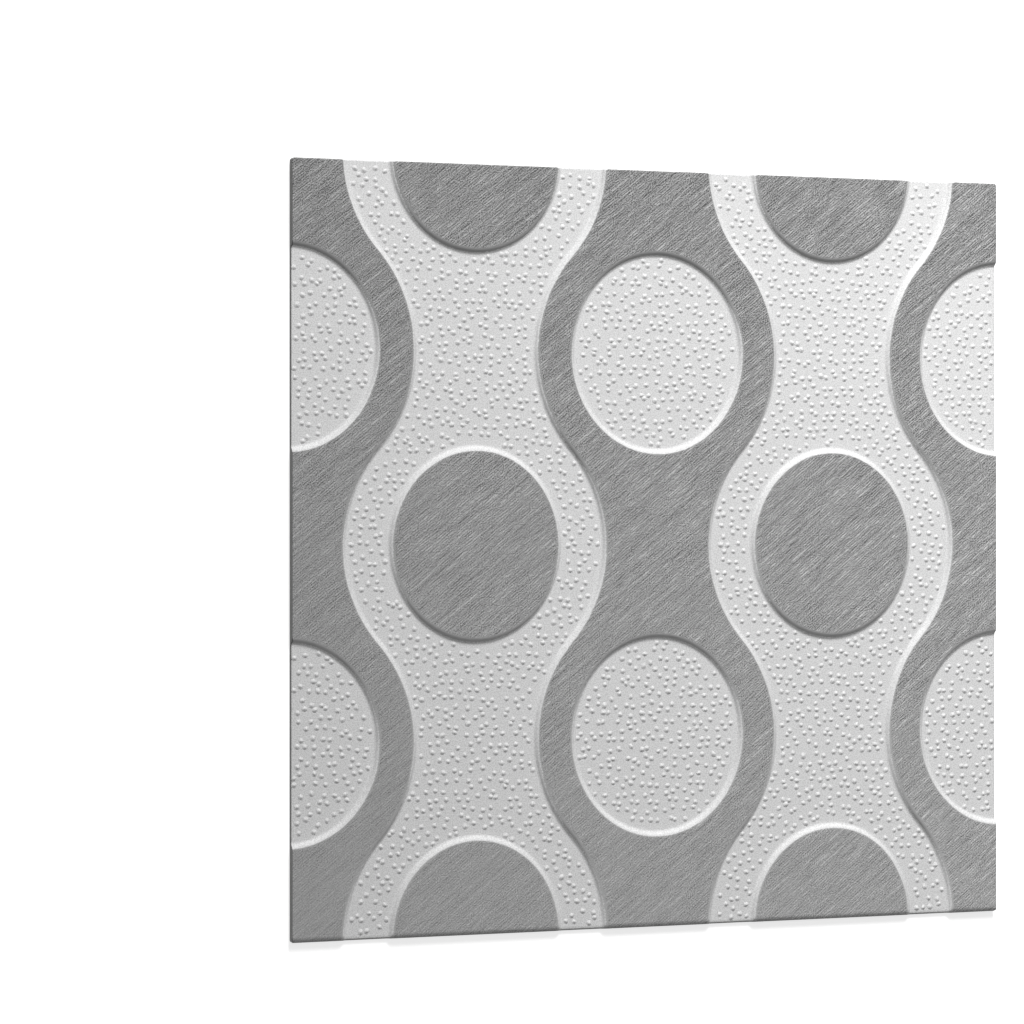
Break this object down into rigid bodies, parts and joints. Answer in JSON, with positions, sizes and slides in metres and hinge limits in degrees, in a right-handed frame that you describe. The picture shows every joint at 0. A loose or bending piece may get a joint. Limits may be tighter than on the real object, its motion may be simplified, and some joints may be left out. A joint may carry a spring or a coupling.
{
  "type": "textured polystyrene wall panel",
  "caption": "Square foam wall panel pressed in two levels: beaded white bands and oval pockets below, brushed silver-grey fields and oval islands above; its flat back is glued to a wall.",
  "frame": {"origin": "middle of the flat back, which is the underside of the panel as it lies", "axes": "+X to the pattern's right, +Y to the pattern's top, +Z out of the patterned face"},
  "size_m": [0.5, 0.5, 0.006],
  "materials": {
    "polystyrene": "matt white pressed foam, fine-grained and beaded on the lower level, with a brushed silver-grey print on the raised level"
  },
  "bodies": {
    "root": {"wall_panel": "polystyrene"}
  },
  "joints": []
}
